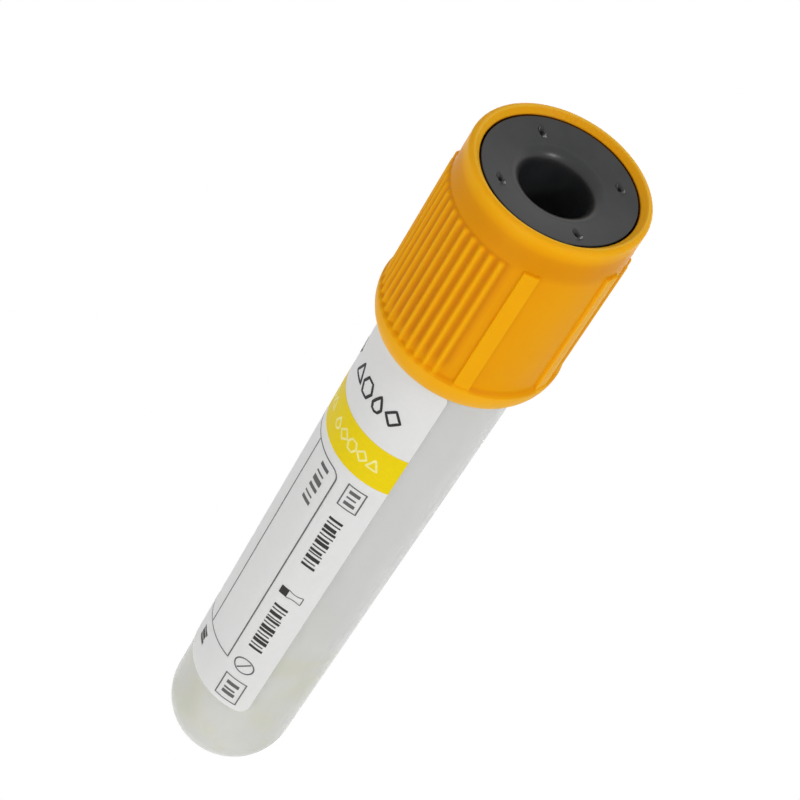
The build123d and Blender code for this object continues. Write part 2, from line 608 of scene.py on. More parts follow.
@dataclass(frozen=True)
class CloudyGel:
    """Pale, cloudy separator gel with faint yellow patches, and yellower under its surface.

    Attributes:
        surface: Height of the gel's surface in the frame, in metres.
        pale: Colour of the gel.
        yellow: Colour of its patches.
        stops: Shares of the pattern for the gel, for a little paler gel and for the patches.
        paler: How much paler that is.
        skin: Depth under the surface to which it is yellower.
        skin_share: How much yellower it is at the surface, as a share of the patches' pattern.
        grain: Size of the patches.
        relief: Height of the patches.
        roughness: Least and most roughness.
        refraction: How strongly it bends light.
        glow: Share of the light that goes into it.
        glow_depth: How deep the light goes.
        glow_colour: How far its red, green and blue parts go, as shares of that depth.
    """

    surface: float
    pale: Colour = (0.62, 0.625, 0.565)
    yellow: Colour = (0.57, 0.57, 0.34)
    stops: tuple[float, float, float] = (0.38, 0.5, 0.66)
    paler: float = 1.05
    skin: float = 8.0
    skin_share: float = 0.25
    grain: float = 4.5
    relief: float = 0.3
    roughness: Span = (0.29, 0.4)
    refraction: float = 1.46
    glow: float = 0.7
    glow_depth: float = 1.6
    glow_colour: Colour = (1.0, 0.95, 0.7)

    def make(self) -> bpy.types.Material:
        """Builds the material.

        Returns:
            The material.
        """
        sheet = FinishSheet("cloudy_gel")
        sheet.set_surface(Subsurface_Weight=self.glow, Subsurface_Radius=self.glow_colour)
        sheet.set_surface(Subsurface_Scale=self.glow_depth * MM, IOR=self.refraction)
        clouds = sheet.noise(self.grain)
        place = sheet.add("ShaderNodeTexCoord").outputs["Object"]
        height = sheet.add("ShaderNodeSeparateXYZ")
        sheet.link(place, height.inputs[0])
        skin = (self.surface, self.surface + self.skin * MM)
        under = sheet.spread(height.outputs["Z"], skin, (self.skin_share, 0.0), "SMOOTHSTEP")
        both = sheet.joined(sheet.add("ShaderNodeMath", operation="ADD"), clouds, under)
        sheet.tint(both, self.stops, (self.pale, shade(self.pale, self.paler), self.yellow))
        sheet.roughen(clouds, self.roughness)
        sheet.emboss(clouds, self.relief)
        return sheet.material


@dataclass(frozen=True)
class LabelFilm:
    """White satin film that glows a little where light passes it.

    Attributes:
        white: Its colour.
        roughness: Least and most roughness.
        grain: Size of its fibres.
        relief: Height of its fibres.
        glow: Share of the light that goes into it.
        glow_depth: How deep the light goes.
    """

    white: Colour = (0.92, 0.915, 0.905)
    roughness: Span = (0.42, 0.55)
    grain: float = 0.5
    relief: float = 0.01
    glow: float = 0.6
    glow_depth: float = 0.5

    def make(self) -> bpy.types.Material:
        """Builds the material.

        Returns:
            The material.
        """
        sheet = FinishSheet("white_label_film")
        sheet.set_surface(Subsurface_Weight=self.glow, Subsurface_Radius=(1.0, 1.0, 1.0))
        sheet.set_surface(Subsurface_Scale=self.glow_depth * MM)
        fibres = sheet.noise(self.grain, detail=4.0)
        sheet.tint(fibres, PATTERN_MIDDLE, (shade(self.white, FAINTLY_DARKER), self.white))
        sheet.roughen(fibres, self.roughness)
        sheet.emboss(fibres, self.relief, strength=0.5)
        return sheet.material


@dataclass(frozen=True)
class PrintInk:
    """One printed ink, a little thinner in places.

    Attributes:
        name: Name of the piece and of its material.
        colour: The ink's colour.
        thin: How much paler it is where it is thin.
        stops: Shares of the pattern for the full ink and the thin ink.
        grain: Size of the thin places.
        gloss: Strength of its gloss.
        roughness: Least and most roughness.
    """

    name: str
    colour: Colour
    thin: float = 1.12
    stops: Span = (0.4, 0.7)
    grain: float = 0.35
    gloss: float = 0.1
    roughness: Span = (0.38, 0.5)

    def make(self) -> bpy.types.Material:
        """Builds the material.

        Returns:
            The material.
        """
        sheet = FinishSheet(self.name)
        sheet.set_surface(Specular_IOR_Level=self.gloss)
        speckle = sheet.noise(self.grain, detail=4.0)
        sheet.tint(speckle, self.stops, (self.colour, shade(self.colour, self.thin)))
        sheet.roughen(speckle, self.roughness)
        return sheet.material


@dataclass(frozen=True)
class MattRubber:
    """Dark grey stopper rubber with a fine moulded grain.

    Attributes:
        dark: Colour of the darker patches.
        light: Colour of the paler patches.
        stops: Shares of the pattern for the two.
        gloss: Strength of its gloss.
        roughness: Least and most roughness.
        patch: Size of the patches.
        grain: Size of the moulded grain.
        relief: Height of the grain.
    """

    dark: Colour = (0.020, 0.021, 0.023)
    light: Colour = (0.028, 0.029, 0.031)
    stops: Span = (0.35, 0.68)
    gloss: float = 0.4
    roughness: Span = (0.28, 0.35)
    patch: float = 2.2
    grain: float = 0.12
    relief: float = 0.012

    def make(self) -> bpy.types.Material:
        """Builds the material.

        Returns:
            The material.
        """
        sheet = FinishSheet("stopper_rubber")
        sheet.set_surface(Specular_IOR_Level=self.gloss)
        patches = sheet.noise(self.patch)
        sheet.tint(patches, self.stops, (self.dark, self.light))
        sheet.roughen(patches, self.roughness)
        sheet.emboss(sheet.noise(self.grain, detail=2.0), self.relief, strength=0.5)
        return sheet.material


@dataclass(frozen=True)
class SatinCapPlastic:
    """Golden yellow polyethylene, satin and glowing, with painted shade in the grooves and painted
    highlight on the ridges.

    Attributes:
        gap: Painted shade in the gap round the stopper.
        groove_shade: Painted shade between the ribs.
        golden: Colour of the plain side.
        ridge_highlight: Painted highlight on the ribs and bars.
        crest: Painted highlight on the flat rim.
        mottle: How much its patches move it from one colour to the next.
        gloss: Strength of its gloss.
        roughness: Least and most roughness.
        patch: Size of the patches.
        patch_stretch: How many times longer they are along the tube.
        grain: Size of the moulded grain.
        relief: Height of the grain.
        glow: Share of the light that goes into it.
        glow_depth: How deep the light goes.
        glow_colour: How far its red, green and blue parts go, as shares of that depth.
    """

    gap: Colour = (0.13, 0.045, 0.003)
    groove_shade: Colour = (0.68, 0.24, 0.0015)
    golden: Colour = (0.83, 0.345, 0.001)
    ridge_highlight: Colour = (0.89, 0.410, 0.002)
    crest: Colour = (0.93, 0.49, 0.035)
    mottle: float = 0.11
    gloss: float = 0.05
    roughness: Span = (0.36, 0.46)
    patch: float = 4.0
    patch_stretch: float = 2.0
    grain: float = 0.18
    relief: float = 0.006
    glow: float = 0.5
    glow_depth: float = 1.2
    glow_colour: Colour = (1.0, 0.45, 0.08)

    def make(self) -> bpy.types.Material:
        """Builds the material.

        Returns:
            The material.
        """
        sheet = FinishSheet("golden_cap_plastic")
        sheet.set_surface(Subsurface_Weight=self.glow, Subsurface_Radius=self.glow_colour)
        sheet.set_surface(Subsurface_Scale=self.glow_depth * MM, Specular_IOR_Level=self.gloss)
        patches = sheet.noise(self.patch, stretch=self.patch_stretch)
        # Painted shade and painted highlight of each corner, stored on the cap's mesh.
        painted_light = sheet.add("ShaderNodeAttribute", attribute_name=PAINTED_LIGHT)
        mottled_painted_light = sheet.add("ShaderNodeMath", operation="MULTIPLY_ADD")
        mottled_painted_light.inputs[1].default_value = self.mottle
        sheet.link(patches, mottled_painted_light.inputs[0])
        sheet.link(painted_light.outputs["Fac"], mottled_painted_light.inputs[2])
        # The gap and between-rib colours are painted shade, the rib and crest colours painted highlight.
        colours = (self.gap, self.groove_shade, self.golden, self.ridge_highlight, self.crest)
        levels = (PaintedLightLevel.GAP_SHADE, PaintedLightLevel.GROOVE_SHADE, PaintedLightLevel.PLAIN, PaintedLightLevel.RIDGE_HIGHLIGHT, PaintedLightLevel.CREST_HIGHLIGHT)
        places = [min(1.0, level.value + self.mottle / 2) for level in levels]
        sheet.tint(mottled_painted_light.outputs[0], places, colours)
        sheet.roughen(patches, self.roughness)
        sheet.emboss(sheet.noise(self.grain, detail=2.0), self.relief, strength=0.5)
        return sheet.material


@dataclass(frozen=True)
class FloorPaint:
    """Pale matt floor that is seen from above and takes the object's shadow.

    Attributes:
        paint: Its colour.
        glow: Strength of the light that it gives off.
        fade_from: Distance from the object, in metres, at which it starts to turn white.
        fade_to: Distance at which it is white.
    """

    paint: Colour = (0.86, 0.86, 0.86)
    glow: float = 0.16
    fade_from: float = 0.06
    fade_to: float = 0.3

    def make(self) -> bpy.types.Material:
        """Builds the material. Seen from underneath, the floor is clear.

        Returns:
            The material.
        """
        sheet = FinishSheet("pale_floor")
        sheet.set_surface(Base_Color=(*self.paint, 1), Roughness=1.0, Specular_IOR_Level=0.0)
        sheet.set_surface(Emission_Color=WHITE, Emission_Strength=self.glow)
        white = sheet.add("ShaderNodeEmission", Color=WHITE, Strength=1.0)
        clear = sheet.add("ShaderNodeBsdfTransparent")
        underneath = sheet.add("ShaderNodeNewGeometry").outputs["Backfacing"]
        place = sheet.add("ShaderNodeTexCoord").outputs["Object"]
        away = sheet.add("ShaderNodeVectorMath", operation="LENGTH")
        sheet.link(place, away.inputs[0])
        reach = (self.fade_from, self.fade_to)
        fade = sheet.spread(away.outputs["Value"], reach, (0.0, 1.0), "SMOOTHSTEP")
        top, both = sheet.add("ShaderNodeMixShader"), sheet.add("ShaderNodeMixShader")
        above = sheet.joined(top, fade, sheet.shader.outputs[0], white.outputs[0])
        surface = sheet.joined(both, underneath, above, clear.outputs[0])
        sheet.link(surface, sheet.output.inputs["Surface"])
        return sheet.material


# ---------------------------------------------------------------- tube and gel


@dataclass(frozen=True)
class SampleTube:
    """The clear tube: a tapered side, a round bottom and a rounded mouth.

    Attributes:
        length: Length from the bottom to the mouth.
        mouth_radius: Outer radius at the mouth.
        bottom_radius: Outer radius of the round bottom.
        wall: Thickness of the wall.
        mouth_rounding: Rounding of the mouth's edges.
        gate_radius: Radius of the dent that the mould's gate leaves.
        gate_depth: Depth of the dent.
        nub_radius: Radius of the nub in the dent.
        nub_height: Height of the nub.
        bore_ripple: Size of the bore's unevenness.
        bore_waves: Share, pace along the axis and number round it of each wave of it.
        mouth_calm: Length at the mouth where the bore is even.
        columns: Number of columns of corners.
    """

    length: float = 75.0
    mouth_radius: float = 6.5
    bottom_radius: float = 6.25
    wall: float = 1.0
    mouth_rounding: float = 0.3
    gate_radius: float = 0.9
    gate_depth: float = 0.1
    nub_radius: float = 0.3
    nub_height: float = 0.06
    bore_ripple: float = 0.025
    bore_waves: tuple[tuple[float, float, int], ...] = ((1.0, 0.35, 2), (0.6, 0.83, -3))
    mouth_calm: float = 2.0
    columns: int = 160

    @property
    def side(self) -> Taper:
        """The outer side."""
        return Taper((self.bottom_radius, self.bottom_radius), (self.mouth_radius, self.length))

    def bore_radius(self, height: float) -> float:
        """Radius of the bore at a height."""
        return self.side.radius(height) - self.wall

    def outline(self) -> Outline:
        """Outline of the wall, from the outer end of the bottom to its inner end.

        Returns:
            The outline, which starts and ends on the axis.
        """
        centre = (0.0, self.bottom_radius)
        rounding = self.mouth_rounding
        lip = self.length - rounding
        outer, inner = self.side.radius(lip), self.bore_radius(lip)
        bottom = arc(centre, self.bottom_radius, -90, 0, 56)
        side = run((self.bottom_radius, self.bottom_radius), (outer, lip), 24)[1:]
        outer_lip = arc((outer - rounding, lip), rounding, 0, 90, 7)[1:]
        inner_lip = arc((inner + rounding, lip), rounding, 90, 180, 7)
        bore = run((inner, lip), (self.bottom_radius - self.wall, self.bottom_radius), 60)[1:]
        hollow = arc(centre, self.bottom_radius - self.wall, 0, -90, 40)[1:]
        loop = bottom + side + outer_lip + inner_lip + bore + hollow
        return [(0.0, loop[0][1]), *loop[1:-1], (0.0, loop[-1][1])]

    def mould_marks(self, radius: float, height: float, angle: float) -> Place:
        """Sinks the gate mark into the outside of the bottom, and ripples the bore a little.

        Args:
            radius: Radius of a corner.
            height: Height of the corner.
            angle: Angle of the corner.

        Returns:
            The corner's new radius and height.
        """
        if height <= self.wall / 2:
            dent = self.gate_depth * bell(radius / self.gate_radius)
            return radius, height + dent - self.nub_height * bell(radius / self.nub_radius)
        in_bore = radius < self.side.radius(height) - self.wall / 2
        if in_bore and self.bottom_radius < height < self.length - self.mouth_calm:
            turn = math.radians(angle)
            waves = [(size, pace, count * turn) for size, pace, count in self.bore_waves]
            return radius + self.bore_ripple * wave_at(height, waves), height
        return radius, height

    def build(self, axes: TubeAxes) -> bpy.types.Object:
        """Builds and dresses the tube.

        Args:
            axes: The tube's axes.

        Returns:
            The tube.
        """
        piece = turned_piece("clear_tube", axes, self.outline(), evenly(self.columns), self.mould_marks)
        dress(piece, ClearMoulding().make(), Body.TUBE, Slot.TUBE, Node.TUBE)
        return piece


@dataclass(frozen=True)
class SeparatorGel:
    """The gel in the round bottom, wetting the wall, with a wavy sagging surface.

    Attributes:
        tube: The tube that it is in.
        level: Height of its surface at the wall.
        sag: How much lower the surface is in the middle.
        wetting: How far it goes into the wall, so that no gap shows.
        wave_height: Height of the surface's waves.
        waves: Share, number round the axis and start of each wave.
        calm_depth: Depth under the surface from which the side is even.
        calm_fade: Height over which the waves grow from there.
        climb: Height of the last row of corners at the wall.
        columns: Number of columns of corners.
    """

    tube: SampleTube
    level: float = 22.0
    sag: float = 0.4
    wetting: float = 0.06
    wave_height: float = 0.16
    waves: Waves = ((1.0, 1, 0.6), (0.5, 3, 2.0), (0.25, 7, 0.0))
    calm_depth: float = 2.0
    calm_fade: float = 1.5
    climb: float = 0.35
    columns: int = 96

    def outline(self) -> Outline:
        """Outline of the gel, from its bottom to the middle of its surface.

        Returns:
            The outline, which starts and ends on the axis.
        """
        centre = self.tube.bottom_radius
        size = centre - self.tube.wall + self.wetting
        edge = self.tube.bore_radius(self.level) + self.wetting
        bottom = arc((0.0, centre), size, -90, 0, 24)
        side = run((size, centre), (edge, self.level - self.climb), 6)[1:]
        shares = [n / 14 for n in range(14, -1, -1)]
        surface = [(edge * s, self.level - self.sag * (1 - s * s)) for s in shares]
        loop = bottom + side + surface
        return [(0.0, loop[0][1]), *loop[1:-1], (0.0, loop[-1][1])]

    def ruffle(self, radius: float, height: float, angle: float) -> Place:
        """Makes the surface uneven, most of all where it climbs the wall.

        Args:
            radius: Radius of a corner.
            height: Height of the corner.
            angle: Angle of the corner.

        Returns:
            The corner's radius and its new height.
        """
        near = smooth_step((height - self.level + self.calm_depth) / self.calm_fade)
        rise = near * radius / self.tube.bottom_radius
        highest = sum(size for size, _, _ in self.waves)
        wave = wave_at(math.radians(angle), self.waves) - highest
        return radius, height + self.wave_height * rise * wave

    def build(self, axes: TubeAxes) -> bpy.types.Object:
        """Builds and dresses the gel.

        Args:
            axes: The tube's axes.

        Returns:
            The gel.
        """
        piece = turned_piece("gel_plug", axes, self.outline(), evenly(self.columns), self.ruffle)
        finish = CloudyGel(surface=axes.point(0, 0, self.level).z)
        dress(piece, finish.make(), Body.TUBE, Slot.GEL, Node.GEL)
        return piece


# ---------------------------------------------------------------- label and its print


@dataclass(frozen=True)
class WrapLabel:
    """The film round the tube. Places on it are millimetres from its right edge, and heights.

    Attributes:
        tube: The tube that it is on.
        foot: Height of its lower end.
        top: Height of its upper end.
        thickness: Its thickness.
        glue: Thickness of the glue under it.
        arc: Angle that it wraps.
        end_angle: Angle of its right edge.
        column_width: Width of a column of corners.
        rows: Number of rows of corners between its rounded corners.
        corner: Radius of its rounded corners.
        corner_steps: Number of spans of a rounded corner.
        edge_ripple: Size of its edges' unevenness.
        edge_waves: Share, pace and start of each wave of it.
    """

    tube: SampleTube
    foot: float = 12.4
    top: float = 63.4
    thickness: float = 0.1
    glue: float = 0.01
    arc: float = 275.0
    end_angle: float = 105.3
    column_width: float = 0.25
    rows: int = 48
    corner: float = 1.2
    corner_steps: int = 6
    edge_ripple: float = 0.06
    edge_waves: Waves = ((1.0, 0.9, 0.0), (0.6, 2.3, 1.0))

    @property
    def degrees_per_mm(self) -> float:
        """Angle that a millimetre of the film takes up."""
        middle = self.tube.side.radius((self.foot + self.top) / 2) + self.glue + self.thickness
        return math.degrees(1 / middle)

    @property
    def width(self) -> float:
        """Width of the film, round the tube."""
        return self.arc / self.degrees_per_mm

    def place(self, axes: TubeAxes) -> Callable[[float, float, float], Vector]:
        """Gives the function that turns a place on the label into a point of the frame.

        Args:
            axes: The tube's axes.

        Returns:
            The function.
        """
        per_mm = self.degrees_per_mm

        def point(x: float, height: float, lift: float) -> Vector:
            """Point of the frame at a place on the label and a lift off the tube's side."""
            radius = self.tube.side.radius(height) + lift
            return axes.point(radius, self.end_angle - x * per_mm, height)

        return point

    def heights(self) -> list[float]:
        """Heights of the rows of corners, closer together at the rounded corners.

        Returns:
            The heights, from the foot to the top.
        """
        steps = self.corner_steps
        bend = [self.corner * (1 - math.cos(math.radians(90 * n / steps))) for n in range(steps)]
        middle = run((0, self.foot + self.corner), (0, self.top - self.corner), self.rows)
        low = [self.foot + rise for rise in bend]
        high = [self.top - rise for rise in reversed(bend)]
        return low + [height for _, height in middle] + high

    def sheet_grid(self) -> Grid:
        """The film's places, with rounded corners and slightly rippled ends.

        Returns:
            Rows of places.
        """
        columns = round(self.width / self.column_width)
        grid = []
        for height in self.heights():
            from_end = min(height - self.foot, self.top - height, self.corner)
            inset = self.corner - math.sqrt(self.corner**2 - (self.corner - from_end) ** 2)
            ripple = self.edge_ripple * wave_at(height, self.edge_waves)
            wide = self.width + ripple - 2 * inset
            grid.append([(inset + wide * c / columns, height) for c in range(columns + 1)])
        return grid

    def build(self, axes: TubeAxes) -> bpy.types.Object:
        """Builds and dresses the film.

        Args:
            axes: The tube's axes.

        Returns:
            The film.
        """
        outer = self.glue + self.thickness
        piece = wrapped_piece("label_film", self.place(axes), [self.sheet_grid()], self.glue, outer)
        dress(piece, LabelFilm().make(), Body.TUBE, Slot.LABEL, Node.LABEL)
        return piece


class Ink(Enum):
    """The inks of the label's print."""

    DARK = PrintInk("print_dark", (0.035, 0.032, 0.031))
    GREY = PrintInk("print_grey", (0.12, 0.118, 0.115))
    YELLOW = PrintInk("print_yellow", (0.84, 0.64, 0.0), thin=1.04)
    PALE = PrintInk("print_pale", (0.86, 0.80, 0.30))


class Symbol(Enum):
    """Closed outlines of the generic symbols, in a square from -1 to 1."""

    DIAMOND = ((0, -1), (1, 0), (0, 1), (-1, 0), (0, -1))
    TRIANGLE = ((-1, -0.8), (1, -0.8), (0, 1), (-1, -0.8))
    HEXAGON = ((-0.5, -0.95), (0.5, -0.95), (1, 0), (0.5, 0.95), (-0.5, 0.95), (-1, 0), (-0.5, -0.95))
    DROP = (
        *((0, 1), (-0.45, 0.25), (-0.72, -0.3), (-0.45, -0.85)),
        *((0, -1), (0.45, -0.85), (0.72, -0.3), (0.45, 0.25), (0, 1)),
    )


@dataclass(frozen=True)
class SymbolRow:
    """A row of outlined symbols round the label, in groups.

    Attributes:
        ink: Their ink.
        group: The symbols of a group, in order.
        height: Height of their middles.
        size: Half their height.
        line: Width of their lines.
        start: Place of the first one's middle.
        step: Distance between the symbols of a group.
        gap: Distance between two groups.
        margin: Distance from the label's far edge at which the row ends.
    """

    ink: Ink
    group: tuple[Symbol, ...]
    height: float
    size: float
    line: float
    start: float
    step: float
    gap: float
    margin: float


@dataclass(frozen=True)
class BarRow:
    """A row of bars of unlike widths, one above the other along the tube.

    Attributes:
        ink: Their ink.
        x: Right side of the row.
        height: Lower end of the row.
        width: Length of the bars, round the tube.
        tall: Length of the row, along the tube.
        widths: Widths of a bar, a gap, a bar and so on, as shares.
    """

    ink: Ink
    x: float
    height: float
    width: float
    tall: float
    widths: tuple[int, ...]


@dataclass(frozen=True)
class EmptyBox:
    """An empty box on the label.

    Attributes:
        x: Its right side.
        height: Its lower side.
        width: Its width round the tube.
        tall: Its height along the tube.
        line: Width of its lines.
    """

    x: float
    height: float
    width: float
    tall: float
    line: float = 0.13


@dataclass(frozen=True)
class EmptyForm:
    """A frame with one rounded corner, divided by rules.

    Attributes:
        right: Place of its right side.
        left: Place of its left side.
        foot: Height of its lower side.
        top: Height of its upper side.
        corner: Radius of its rounded corner.
        line: Width of its frame.
        rules: Place of each rule, and its width as a share of the frame's.
    """

    right: float = 4.5
    left: float = 26.5
    foot: float = 18.4
    top: float = 48.06
    corner: float = 0.9
    line: float = 0.14
    rules: tuple[tuple[float, float], ...] = ((8.48, 1.0), (13.2, 0.8), (17.9, 0.8), (22.4, 0.8))

    def frame(self) -> Outline:
        """The frame's line, a loop from its lower right corner.

        Returns:
            The places of the line.
        """
        bend = arc((self.right + self.corner, self.top - self.corner), self.corner, 180, 90, 6)
        start = (self.right, self.foot)
        return [start, *bend, (self.left, self.top), (self.left, self.foot), start]


@dataclass(frozen=True)
class FillingMark:
    """A small waisted outline with one end filled.

    Attributes:
        near: Place of its filled end.
        far: Place of its open end.
        height: Height of its lower side.
        tall: Its height along the tube.
        filled: Length of the filled end.
        waist: How far each side is drawn in, as a share of its height.
        line: Width of its line.
    """

    near: float = 2.75
    far: float = 1.25
    height: float = 30.9
    tall: float = 1.1
    filled: float = 0.85
    waist: float = 0.16
    line: float = 0.1

    def side(self, foot: float, pinch: float) -> Outline:
        """One of its long sides.

        Args:
            foot: Height of the side's ends.
            pinch: How much higher its middle is.

        Returns:
            The places of the side.
        """
        places = run((self.far, foot), (self.near, foot), 10)
        return [(x, z + pinch * math.sin(math.pi * n / 10)) for n, (x, z) in enumerate(places)]


@dataclass(frozen=True)
class CrossedRing:
    """A ring crossed by a slanted line.

    Attributes:
        x: Place of its middle.
        height: Height of its middle.
        radius: Its radius to the middle of the line.
        line: Width of the line.
        slash: The two ends of the slanted line.
    """

    x: float = 2.62
    height: float = 19.0
    radius: float = 1.05
    line: float = 0.15
    slash: tuple[Place, Place] = ((3.2, 18.3), (2.05, 19.7))


@dataclass(frozen=True)
class LevelScale:
    """Short level marks beside the film's far end.

    Attributes:
        foot: Height of the first mark.
        step: Distance between marks.
        count: Number of marks.
        inset: Distance from the film's far edge.
        lengths: Lengths that the marks have in turn.
        line: Width of a mark.
    """

    foot: float = 18.0
    step: float = 3.5
    count: int = 9
    inset: float = 0.8
    lengths: tuple[float, float] = (2.4, 1.4)
    line: float = 0.22


TITLE = SymbolRow(
    Ink.DARK,
    (Symbol.DIAMOND, Symbol.DROP, Symbol.HEXAGON, Symbol.TRIANGLE),
    height=57.75,
    size=0.95,
    line=0.27,
    start=3.1,
    step=1.75,
    gap=3.1,
    margin=3.0,
)
BAND_SYMBOLS = SymbolRow(
    Ink.PALE,
    (Symbol.TRIANGLE, Symbol.DIAMOND, Symbol.HEXAGON, Symbol.DIAMOND, Symbol.DROP),
    height=51.85,
    size=0.68,
    line=0.2,
    start=2.4,
    step=1.25,
    gap=2.2,
    margin=2.0,
)
LONG_ROW = (2, 2, 1, 2, 3, 2, 1, 1, 2, 2, 1, 2, 3, 1, 2, 2, 1, 2, 2, 1, 3, 2, 1, 2, 2)
SHORT_ROW = (2, 2, 1, 2, 3, 2, 1)
FORM_BARS = (
    BarRow(Ink.GREY, x=5.5, height=42.0, width=1.2, tall=5.2, widths=(2, 2, 1, 3, 2, 2, 3, 2, 1, 3, 2)),
    BarRow(Ink.GREY, x=14.2, height=42.6, width=1.0, tall=4.4, widths=SHORT_ROW),
    BarRow(Ink.GREY, x=18.8, height=42.6, width=1.0, tall=4.4, widths=SHORT_ROW),
    BarRow(Ink.GREY, x=23.3, height=42.6, width=1.0, tall=4.4, widths=SHORT_ROW),
    BarRow(Ink.DARK, x=8.0, height=15.0, width=1.3, tall=1.7, widths=(3, 1, 4, 1, 2)),
)
PANEL_BARS = (
    BarRow(Ink.GREY, x=1.82, height=45.75, width=1.1, tall=1.9, widths=(2, 2, 1, 2, 2)),
    BarRow(Ink.DARK, x=1.83, height=36.0, width=1.43, tall=7.4, widths=LONG_ROW),
    BarRow(Ink.DARK, x=1.83, height=22.0, width=1.5, tall=7.4, widths=LONG_ROW[::-1]),
    BarRow(Ink.GREY, x=1.85, height=13.9, width=1.4, tall=2.0, widths=(2, 1, 1, 2, 2)),
)
PANEL_BOXES = (
    EmptyBox(x=1.37, height=45.2, width=2.0, tall=3.0),
    EmptyBox(x=1.3, height=13.1, width=2.5, tall=3.6),
)


@dataclass
class LabelPrint:
    """The label's generic print: symbols, a colour band, an empty form and rows of bars.

    A place is (x, height): millimetres from the film's right edge, and the height on the tube.

    Attributes:
        label: The film that is printed.
        band_foot: Height of the colour band's lower edge.
        band_top: Height of the band's upper edge.
        ink_lift: Thickness of the ink.
        ink_overlap: How far the ink goes into the film, so that no gap shows.
        step: Length of a span of a printed line.
        squeeze: Width of a symbol as a share of its height.
        bar_inset: How much shorter every third bar is, as a share of its length.
    """

    label: WrapLabel
    band_foot: float = 49.4
    band_top: float = 54.1
    ink_lift: float = 0.012
    ink_overlap: float = 0.006
    step: float = 0.2
    squeeze: float = 0.8
    bar_inset: float = 0.12

    def __post_init__(self) -> None:
        """Starts with no patches of any ink."""
        self.patches: dict[Ink, list[Grid]] = {ink: [] for ink in Ink}

    def block(self, ink: Ink, x: float, height: float, width: float, tall: float) -> None:
        """Adds a filled rectangle.

        Args:
            ink: Its ink.
            x: Its right side.
            height: Its lower side.
            width: Its width round the tube.
            tall: Its height along the tube.
        """
        columns = max(1, math.ceil(width / self.step))
        sides = [x + width * c / columns for c in range(columns + 1)]
        self.patches[ink].append([[(s, height + tall * row) for s in sides] for row in (0, 1)])

    def stroke(self, ink: Ink, points: Outline, width: float) -> None:
        """Adds a line of even width through some places.

        Args:
            ink: Its ink.
            points: The places. A line that ends where it starts is a loop.
            width: Width of the line.
        """
        path = [points[0]]
        for one, two in pairwise(points):
            count = max(1, math.ceil(math.dist(one, two) / self.step))
            path += run(one, two, count)[1:]
        loop = points[0] == points[-1]
        first, last = (path[-2], path[1]) if loop else (path[0], path[-1])
        reach = width / 2
        near: Outline = []
        far: Outline = []
        for before, (x, z), after in zip([first, *path], path, [*path[1:], last]):
            dx, dz = after[0] - before[0], after[1] - before[1]
            size = math.hypot(dx, dz)
            near.append((x - dz / size * reach, z + dx / size * reach))
            far.append((x + dz / size * reach, z - dx / size * reach))
        if loop:
            near[-1], far[-1] = near[0], far[0]
        self.patches[ink].append([near, far])

    def box(self, ink: Ink, box: EmptyBox) -> None:
        """Adds the four lines of an empty box.

        Args:
            ink: Its ink.
            box: Its place and sizes.
        """
        line = box.line
        for foot in (box.height, box.height + box.tall - line):
            self.block(ink, box.x, foot, box.width, line)
        for side in (box.x, box.x + box.width - line):
            self.block(ink, side, box.height + line, line, box.tall - 2 * line)

    def ring(self, ink: Ink, ring: CrossedRing) -> None:
        """Adds a ring and the line that crosses it.

        Args:
            ink: Its ink.
            ring: Its place and sizes.
        """
        steps = round(2 * math.pi * ring.radius / self.step)
        turns = [2 * math.pi * n / steps for n in range(steps)]
        rows = []
        for size in (ring.radius - ring.line / 2, ring.radius + ring.line / 2):
            row = [(ring.x + size * math.cos(t), ring.height + size * math.sin(t)) for t in turns]
            rows.append([*row, row[0]])
        self.patches[ink].append(rows)
        self.stroke(ink, list(ring.slash), ring.line)

    def bars(self, row: BarRow) -> None:
        """Adds a row of bars. Every third one is a little shorter.

        Args:
            row: Their place and sizes.
        """
        unit = row.tall / sum(row.widths)
        height = row.height
        for n, size in enumerate(row.widths):
            if n % 2 == 0:
                inset = self.bar_inset * row.width if (n // 2) % 3 == 1 else 0.0
                self.block(row.ink, row.x + inset, height, row.width - inset, size * unit)
            height += size * unit

    def symbols(self, row: SymbolRow) -> None:
        """Adds a row of symbols.

        Args:
            row: Their place and sizes.
        """
        x, count = row.start, 0
        while x < self.label.width - row.margin:
            shape = row.group[count % len(row.group)].value
            wide = row.size * self.squeeze
            points = [(x + right * wide, row.height + up * row.size) for right, up in shape]
            self.stroke(row.ink, points, row.line)
            count += 1
            x += row.step if count % len(row.group) else row.gap

    def band(self) -> None:
        """Adds the colour band and the pale symbols on it."""
        self.block(Ink.YELLOW, 0.0, self.band_foot, self.label.width, self.band_top - self.band_foot)
        self.symbols(BAND_SYMBOLS)

    def form(self, form: EmptyForm) -> None:
        """Adds the empty form and its bars.

        Args:
            form: Its places and sizes.
        """
        self.stroke(Ink.GREY, form.frame(), form.line)
        for x, share in form.rules:
            foot = form.foot + form.line
            self.block(Ink.GREY, x, foot, form.line * share, form.top - form.line - foot)
        for row in FORM_BARS:
            self.bars(row)

    def panel(self, mark: FillingMark) -> None:
        """Adds the column beside the form: boxes, rows of bars, the filling mark and the ring.

        Args:
            mark: The filling mark.
        """
        for box in PANEL_BOXES:
            self.box(Ink.GREY, box)
        for row in PANEL_BARS:
            self.bars(row)
        self.block(Ink.DARK, mark.near, mark.height, mark.filled, mark.tall)
        pinch = mark.waist * mark.tall
        self.stroke(Ink.GREY, mark.side(mark.height, pinch), mark.line)
        self.stroke(Ink.GREY, mark.side(mark.height + mark.tall, -pinch), mark.line)
        end = mark.far - mark.line / 2
        self.block(Ink.GREY, end, mark.height + mark.line / 2, mark.line, mark.tall - mark.line)
        self.ring(Ink.GREY, CrossedRing())

    def scale(self, scale: LevelScale) -> None:
        """Adds the level marks.

        Args:
            scale: Their places and sizes.
        """
        for n in range(scale.count):
            long = scale.lengths[n % len(scale.lengths)]
            x = self.label.width - scale.inset - long
            self.block(Ink.DARK, x, scale.foot + scale.step * n, long, scale.line)

